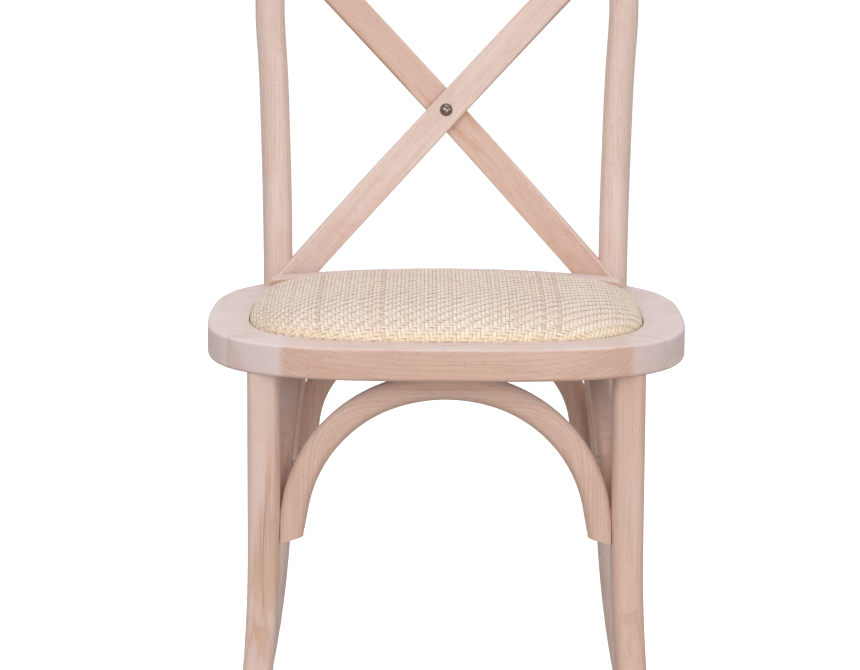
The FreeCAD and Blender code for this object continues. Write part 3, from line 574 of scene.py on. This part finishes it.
def look_up(table, reach, length):
    """The table's value between its four nearest entries."""
    row = np.interp(reach, profile_reaches, np.arange(len(profile_reaches)))
    column = np.interp(length, profile_lengths, np.arange(len(profile_lengths)))
    row_low = np.minimum(row.astype(int), len(profile_reaches) - 2)
    column_low = np.minimum(column.astype(int), len(profile_lengths) - 2)
    row_part, column_part = row - row_low, column - column_low
    near = (table[row_low, column_low] * (1 - column_part)
            + table[row_low, column_low + 1] * column_part)
    far = (table[row_low + 1, column_low] * (1 - column_part)
           + table[row_low + 1, column_low + 1] * column_part)
    return near * (1 - row_part) + far * row_part


def on_dome(a, b):
    """The place on the panel's skin that a flat sheet's point (a, b) comes to when the
    sheet is laid over the crown and pulled down round the sides."""
    angle = np.arctan2(b, a)
    reach = panel_reach(angle)
    length = np.hypot(a, b)
    radius = look_up(dome_radii, reach, length)
    height = look_up(dome_heights, reach, length)
    return np.stack([radius * np.cos(angle), panel_middle_y + radius * np.sin(angle),
                     seat_top + height], axis=-1)


def unit(vectors):
    return vectors / np.maximum(np.linalg.norm(vectors, axis=-1, keepdims=True), 1e-12)


def dome_frames(a, b):
    """Places on the skin, with the directions of growing a, of growing b, and outward."""
    step = skin_difference_step
    place = on_dome(a, b)
    along_a = on_dome(a + step, b) - on_dome(a - step, b)
    along_b = on_dome(a, b + step) - on_dome(a, b - step)
    outward = unit(np.cross(along_a, along_b))
    return place, unit(along_a), unit(along_b), outward


def add_strand(lists, a, b, lifts, width, tone, crosswise):
    """One strand as a closed tube along the points (a, b). A crosswise one runs from front
    to back and is wide along a."""
    place, along_a, along_b, outward = dome_frames(a, b)
    side = along_a if crosswise else along_b
    side = unit(side - outward * np.sum(side * outward, axis=1, keepdims=True))
    count, ring = len(a), len(strand_section)
    points = np.empty((count, ring, 3))
    weave = np.empty((count, ring, 3))
    distance = b if crosswise else a
    for place_in_ring, (across, high) in enumerate(strand_section):
        rise = (lifts + high * strand_thickness)[:, None]
        points[:, place_in_ring] = place + side * (across * width) + outward * rise
        weave[:, place_in_ring] = np.stack([np.full(count, across * width), distance,
                                            np.full(count, tone)], axis=1)
    vertices, faces, marks = lists
    base = sum(len(block) for block in vertices)
    vertices.append(points.reshape(-1, 3))
    marks.append(weave.reshape(-1, 3))
    index = base + np.arange(count * ring).reshape(count, ring)
    turned = np.roll(index, -1, axis=1)
    quads = np.stack([index[:-1], index[1:], turned[1:], turned[:-1]], axis=-1).reshape(-1, 4)
    if crosswise:
        quads = quads[:, ::-1]
        ends = [index[0], index[-1][::-1]]
    else:
        ends = [index[0][::-1], index[-1]]
    faces += quads.tolist()
    faces += [end.tolist() for end in ends]


def weave_direction(crosswise):
    """All strands from front to back (crosswise), or all from side to side, as lists of
    vertices, faces and marks. Each goes over two others and then under two."""
    lists = ([], [], [])
    rows = int(weave_half_extent / pitch)
    last_sample = rows * samples_per_pitch
    steps = np.arange(-last_sample, last_sample + 1) / samples_per_pitch
    for row in range(-rows, rows + 1):
        offset = row * pitch + draws.normal(0, spacing_scatter)
        tone = draws.random_sample()
        width = (warp_width if crosswise else weft_width) * draws.uniform(0.95, 1.03)
        distance = steps * pitch
        fixed = np.full(len(distance), offset)
        a, b = (fixed, distance) if crosswise else (distance, fixed)
        phase = steps - row if crosswise else row - steps
        wave = np.sin(phase * math.pi / 2 + math.pi / 4)
        wave = np.clip(wave * wave_flatness, -1, 1) * (1 if crosswise else -1)
        above_hem = on_dome(a, b)[:, 2] > cover_floor + strand_end_height
        keep = np.flatnonzero(above_hem & (np.hypot(a, b) < longest_strand_reach))
        if len(keep) < 5:
            continue
        keep = np.arange(keep[0], keep[-1] + 1)
        lifts = weave_top + weave_lift * wave + draws.normal(0, lift_scatter)
        if not crosswise:
            lifts = lifts - weft_sink
        add_strand(lists, a[keep], b[keep], lifts[keep], width, tone, crosswise)
    return lists


def mesh_object(name, vertices, faces, smooth=True):
    mesh = bpy.data.meshes.new(name)
    mesh.from_pydata([tuple(v) for v in vertices], [], faces)
    mesh.validate()
    mesh.polygons.foreach_set("use_smooth", [smooth] * len(mesh.polygons))
    mesh.update()
    result = bpy.data.objects.new(name, mesh)
    bpy.context.scene.collection.objects.link(result)
    return result


def make_rattan(name, light, dark):
    """Split rattan: a glossy skin with fine lines along it, each strand in its own tone."""
    material, graph = new_material(name)
    mark = graph.add("ShaderNodeAttribute", attribute_name="weave").outputs["Vector"]
    across, along, tone = graph.split(mark)
    place = graph.place()
    lines = graph.noise(graph.vector(graph.times(across, 2600),
                                     graph.plus(graph.times(along, 22), graph.times(tone, 90)),
                                     graph.times(tone, 40)), 2)
    blotches = graph.noise(graph.vector(graph.times(tone, 70), graph.times(along, 38), 0.0), 3)
    patches = graph.ramp(graph.stretched_noise(place, (16, 16, 0), 2), 0.45, 0.75)
    nodes = graph.ramp(graph.noise(graph.vector(graph.times(tone, 900), graph.times(along, 95),
                                                3.0), 1), 0.80, 0.86)
    shade = graph.plus(graph.times(tone, 0.55), graph.times(graph.minus(blotches, 0.5), 1.1))
    colour = graph.mix(graph.ramp(shade, 0.0, 1.0), light, dark)
    colour = graph.mix(graph.times(graph.ramp(lines, 0.48, 0.7), 0.25), colour,
                       srgb(196, 150, 116))
    colour = graph.mix(graph.times(patches, 0.14), colour, srgb(226, 186, 168))
    colour = graph.mix(graph.times(nodes, 0.6), colour, srgb(118, 80, 60))
    brown_strand = graph.ramp(tone, 0.955, 0.975)
    colour = graph.mix(graph.times(brown_strand, 0.30), colour, srgb(164, 116, 88))
    # Painted shade: each strand's edges are painted darker, for the shade in the grooves between
    # strands
    edge_shade = graph.ramp(graph.math("ABSOLUTE", across), warp_width * 0.30, warp_width * 0.5)
    colour = graph.mix(graph.times(edge_shade, 0.12), colour, srgb(200, 164, 140))
    rolled = graph.minus(1.0, graph.ramp(place[2], seat_top + 0.001, seat_top + 0.016))
    colour = graph.mix(graph.times(rolled, 0.45), colour, srgb(240, 222, 180))
    roughness = graph.plus(0.40, graph.times(lines, 0.22))
    finish_surface(graph, colour, roughness, lines, 0.00012, {"Specular IOR Level": 0.45})
    return material


def make_lining():
    """Unbleached lining cloth over the pad: a plain fine weave."""
    material, graph = new_material("pad_lining")
    place = graph.place()
    turns_per_metre = 2 * math.pi / 0.0009
    threads = graph.times(graph.math("SINE", graph.times(place[0], turns_per_metre)),
                          graph.math("SINE", graph.times(place[1], turns_per_metre)))
    slubs = graph.stretched_noise(place, (140, 1400, 300), 2)
    colour = graph.mix(graph.ramp(threads, -0.6, 0.8), srgb(208, 164, 138), srgb(222, 180, 154))
    colour = graph.mix(graph.times(graph.ramp(slubs, 0.5, 0.8), 0.3), colour,
                       srgb(146, 104, 76))
    finish_surface(graph, colour, graph.plus(0.8, graph.times(slubs, 0.1)), threads, 0.0001,
                   {"Specular IOR Level": 0.15})
    return material


def outline_ring(reach, angle, height):
    """Points at one height, each at its own reach from the panel's middle."""
    return [(r * math.cos(t), panel_middle_y + r * math.sin(t), height)
            for r, t in zip(reach, angle)]


def band(ring, next_ring):
    """The faces between two rings of points, given by their numbers."""
    faces = []
    for step in range(points_around):
        following = (step + 1) % points_around
        faces.append((ring * points_around + step, next_ring * points_around + step,
                      next_ring * points_around + following, ring * points_around + following))
    return faces


def make_pad():
    """The padded form under the weave, from the board up to just under the strands."""
    angle = np.arange(points_around) * 2 * math.pi / points_around
    reach = panel_reach(angle) - pad_side_gap
    crown = panel_crown - pad_top_gap
    vertices, faces = [], []
    for ring in range(1, pad_rings + 1):
        turn = ring / pad_rings * math.pi / 2
        vertices += outline_ring(reach * math.sin(turn) ** crown_power, angle,
                                 seat_top + crown * math.cos(turn))
    vertices += outline_ring(reach, angle, board_top)
    for ring in range(pad_rings):
        faces += band(ring, ring + 1)
    top = len(vertices)
    vertices.append((0.0, panel_middle_y, seat_top + crown))
    bottom = len(vertices)
    vertices.append((0.0, panel_middle_y, board_top))
    last = pad_rings * points_around
    for step in range(points_around):
        following = (step + 1) % points_around
        faces.append((top, step, following))
        faces.append((bottom, last + following, last + step))
    return mesh_object("seat_pad", vertices, faces)


def make_hem():
    """The cover's hem, turned under the board all round."""
    angle = np.arange(points_around) * 2 * math.pi / points_around
    outer = panel_reach(angle) - hem_side_gap
    inner = outer - hem_width
    top = cover_floor + hem_thickness
    vertices, faces = [], []
    rings = [(outer, top), (outer, cover_floor), (inner, cover_floor), (inner, top)]
    for number, (reach, height) in enumerate(rings):
        vertices += outline_ring(reach, angle, height)
        faces += band(number, (number + 1) % len(rings))
    return mesh_object("rattan_hem", vertices, faces, smooth=False)


def woven_piece(name, crosswise, material):
    """One mesh of strands. Its weave attribute holds each vertex's place across its strand
    and along it, and the strand's tone."""
    vertices, faces, marks = weave_direction(crosswise)
    piece = mesh_object(name, np.concatenate(vertices), faces)
    attribute = piece.data.attributes.new("weave", "FLOAT_VECTOR", "POINT")
    attribute.data.foreach_set("vector", np.concatenate(marks).astype(np.float32).ravel())
    piece.data.materials.append(material)
    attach(piece, "root")
    return piece


warp_rattan = make_rattan("rattan_front_to_back", srgb(240, 229, 219), srgb(224, 205, 194))
weft_rattan = make_rattan("rattan_side_to_side", srgb(236, 222, 206), srgb(216, 190, 172))
warp = woven_piece("rattan_warp", True, warp_rattan)
weft = woven_piece("rattan_weft", False, weft_rattan)
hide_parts("rattan_seat_cover")
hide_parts("rattan_seat_cover")
hem = make_hem()
hem.data.materials.append(weft_rattan)
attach(hem, "root")
pad = make_pad()
pad.data.materials.append(make_lining())
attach(pad, "root")
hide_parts("seat_foam_pad")


# Painted shade for the driver recesses in the screws and bolts that face the rear: dark plates
# stand in for the shade in the hollows
def make_painted_recess_shade():
    """Painted shade in the bottom of a recess: dark metal that stands in for the shade in the
    hollow, with scratches from the driver.
    """
    material, graph = new_material("painted_recess_shade")
    scratches = graph.stretched_noise(graph.place(), (5200, 900, 900), 2)
    # Painted shade: dark metal, lighter where the scratches are
    colour = graph.mix(graph.ramp(scratches, 0.5, 0.75), srgb(52, 48, 45), srgb(104, 98, 92))
    finish_surface(graph, colour, graph.plus(0.4, graph.times(scratches, 0.2)), scratches,
                   0.00003, {"Metallic": 1.0})
    return material


def recess_outline(kind, radius):
    """Corners of a hexagon socket or of a cross recess, round the origin."""
    if kind == "hexagon":
        turns = [math.radians(60 * step) for step in range(6)]
        return [(radius * math.cos(t), radius * math.sin(t)) for t in turns]
    arm = radius * 0.28
    corners = [(radius, -arm), (radius, arm), (arm, arm)]
    outline = []
    for quarter in range(4):
        turn = math.radians(90 * quarter)
        outline += [(x * math.cos(turn) - y * math.sin(turn),
                     x * math.sin(turn) + y * math.cos(turn)) for x, y in corners]
    return outline


def make_painted_recesses(name, node, kind, radius, proud, material):
    """A thin dark plate in the shape of the recess on each of a node's two rear-facing heads,
    half sunk in the head: painted shade for the hollow."""
    low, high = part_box(node)
    head_radius = (high.z - low.z) / 2
    outline = recess_outline(kind, radius)
    vertices, faces = [], []
    for side in (1, -1):
        base = len(vertices)
        middle_x = side * (high.x - head_radius)
        middle_z = (high.z + low.z) / 2
        for y in (high.y - proud, high.y + proud):
            vertices += [(middle_x + x, y, middle_z + z) for x, z in outline]
        count = len(outline)
        faces.append([base + step for step in range(count)])
        faces.append([base + count + step for step in reversed(range(count))])
        for step in range(count):
            after = (step + 1) % count
            faces.append([base + after, base + step, base + count + step, base + count + after])
    piece = mesh_object(name, vertices, faces, smooth=False)
    piece.data.materials.append(material)
    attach(piece, "root")


painted_recess_shade = make_painted_recess_shade()
make_painted_recesses("hoop_bolt_socket_shade", "hoop_bolts", "hexagon", 0.0034, 0.00012, painted_recess_shade)
make_painted_recesses("slat_top_screw_recess_shade", "slat_top_screws", "cross", 0.0021, 0.00010,
              painted_recess_shade)


# Floor, light and camera
def make_floor_material():
    """Matt studio paper with a barely seen mottle."""
    material, graph = new_material("studio_floor")
    mottle = graph.stretched_noise(graph.place(), (3, 3, 0), 2)
    colour = graph.mix(mottle, srgb(250, 250, 250), srgb(254, 254, 254))
    shader = graph.add("ShaderNodeBsdfPrincipled", {
        "Base Color": colour, "Roughness": 0.9, "Specular IOR Level": 0.0,
        "Emission Color": (1, 1, 1, 1), "Emission Strength": 0.42})
    graph.add("ShaderNodeOutputMaterial", {"Surface": shader.outputs[0]})
    return material


def make_floor():
    """A white floor that throws no light back at the chair."""
    half = 30.0
    floor = mesh_object("studio_floor", [(-half, -half, 0), (half, -half, 0), (half, half, 0),
                                         (-half, half, 0)], [(0, 1, 2, 3)], smooth=False)
    floor.data.materials.append(make_floor_material())
    floor.visible_diffuse = False
    floor.visible_glossy = False


def make_world():
    """Soft studio surroundings: bright above and at eye level, darker from below."""
    world = bpy.data.worlds.new("studio")
    world.use_nodes = True
    graph = Graph(world.node_tree)
    graph.nodes.clear()
    darkest, brightening = 0.36, 0.32
    direction = graph.split(graph.add("ShaderNodeTexCoord").outputs["Generated"])
    upward = graph.ramp(direction[2], -0.5, 0.6)
    strength = graph.plus(darkest, graph.times(upward, brightening))
    light = graph.add("ShaderNodeBackground", {"Color": (1.0, 0.985, 0.97, 1),
                                               "Strength": strength})
    graph.add("ShaderNodeOutputWorld", {"Surface": light.outputs[0]})
    bpy.context.scene.world = world


def add_area_light(name, place, target, size, power, colour, mirrored=True):
    """A square lamp. One that isn't mirrored leaves no highlight."""
    light = bpy.data.lights.new(name, "AREA")
    light.shape = "SQUARE"
    light.size = size
    light.energy = power
    light.color = colour
    lamp = bpy.data.objects.new(name, light)
    lamp.location = place
    direction = Vector(target) - Vector(place)
    lamp.rotation_euler = direction.to_track_quat("-Z", "Y").to_euler()
    lamp.visible_glossy = mirrored
    bpy.context.scene.collection.objects.link(lamp)


def make_camera():
    """The photograph's camera."""
    camera = bpy.data.cameras.new("camera")
    camera.sensor_fit = "HORIZONTAL"
    camera.sensor_width = sensor_width
    camera.lens = focal_pixels * sensor_width / picture_width
    camera.clip_end = 200.0
    viewer = bpy.data.objects.new("camera", camera)
    bpy.context.scene.collection.objects.link(viewer)
    turn = (Matrix.Rotation(-camera_turn, 4, "Z")
            @ Matrix.Rotation(math.radians(90) - camera_down, 4, "X")
            @ Matrix.Rotation(camera_roll, 4, "Z"))
    viewer.matrix_world = Matrix.Translation(camera_place) @ turn
    bpy.context.scene.camera = viewer


make_floor()
make_world()
add_area_light("key", (-1.5, -2.9, 1.9), (0, 0, 0.5), 1.8, 33, (1.0, 0.98, 0.98))
add_area_light("top", (0.3, 0.2, 2.9), (0, 0, 0.45), 2.0, 12, (1.0, 1.0, 1.0))
add_area_light("fill", (0.7, -3.6, 0.35), (0, 0, 0.4), 1.6, 32, (1.0, 0.98, 0.98))
add_area_light("right", (2.5, -1.9, 1.3), (0, 0, 0.5), 1.6, 11, (1.0, 0.985, 0.99))
add_area_light("back", (-0.8, 3.2, 1.7), (0, 0, 0.5), 2.0, 14, (1.0, 0.99, 0.98), False)
make_camera()
bpy.context.scene.view_settings.view_transform = "Standard"
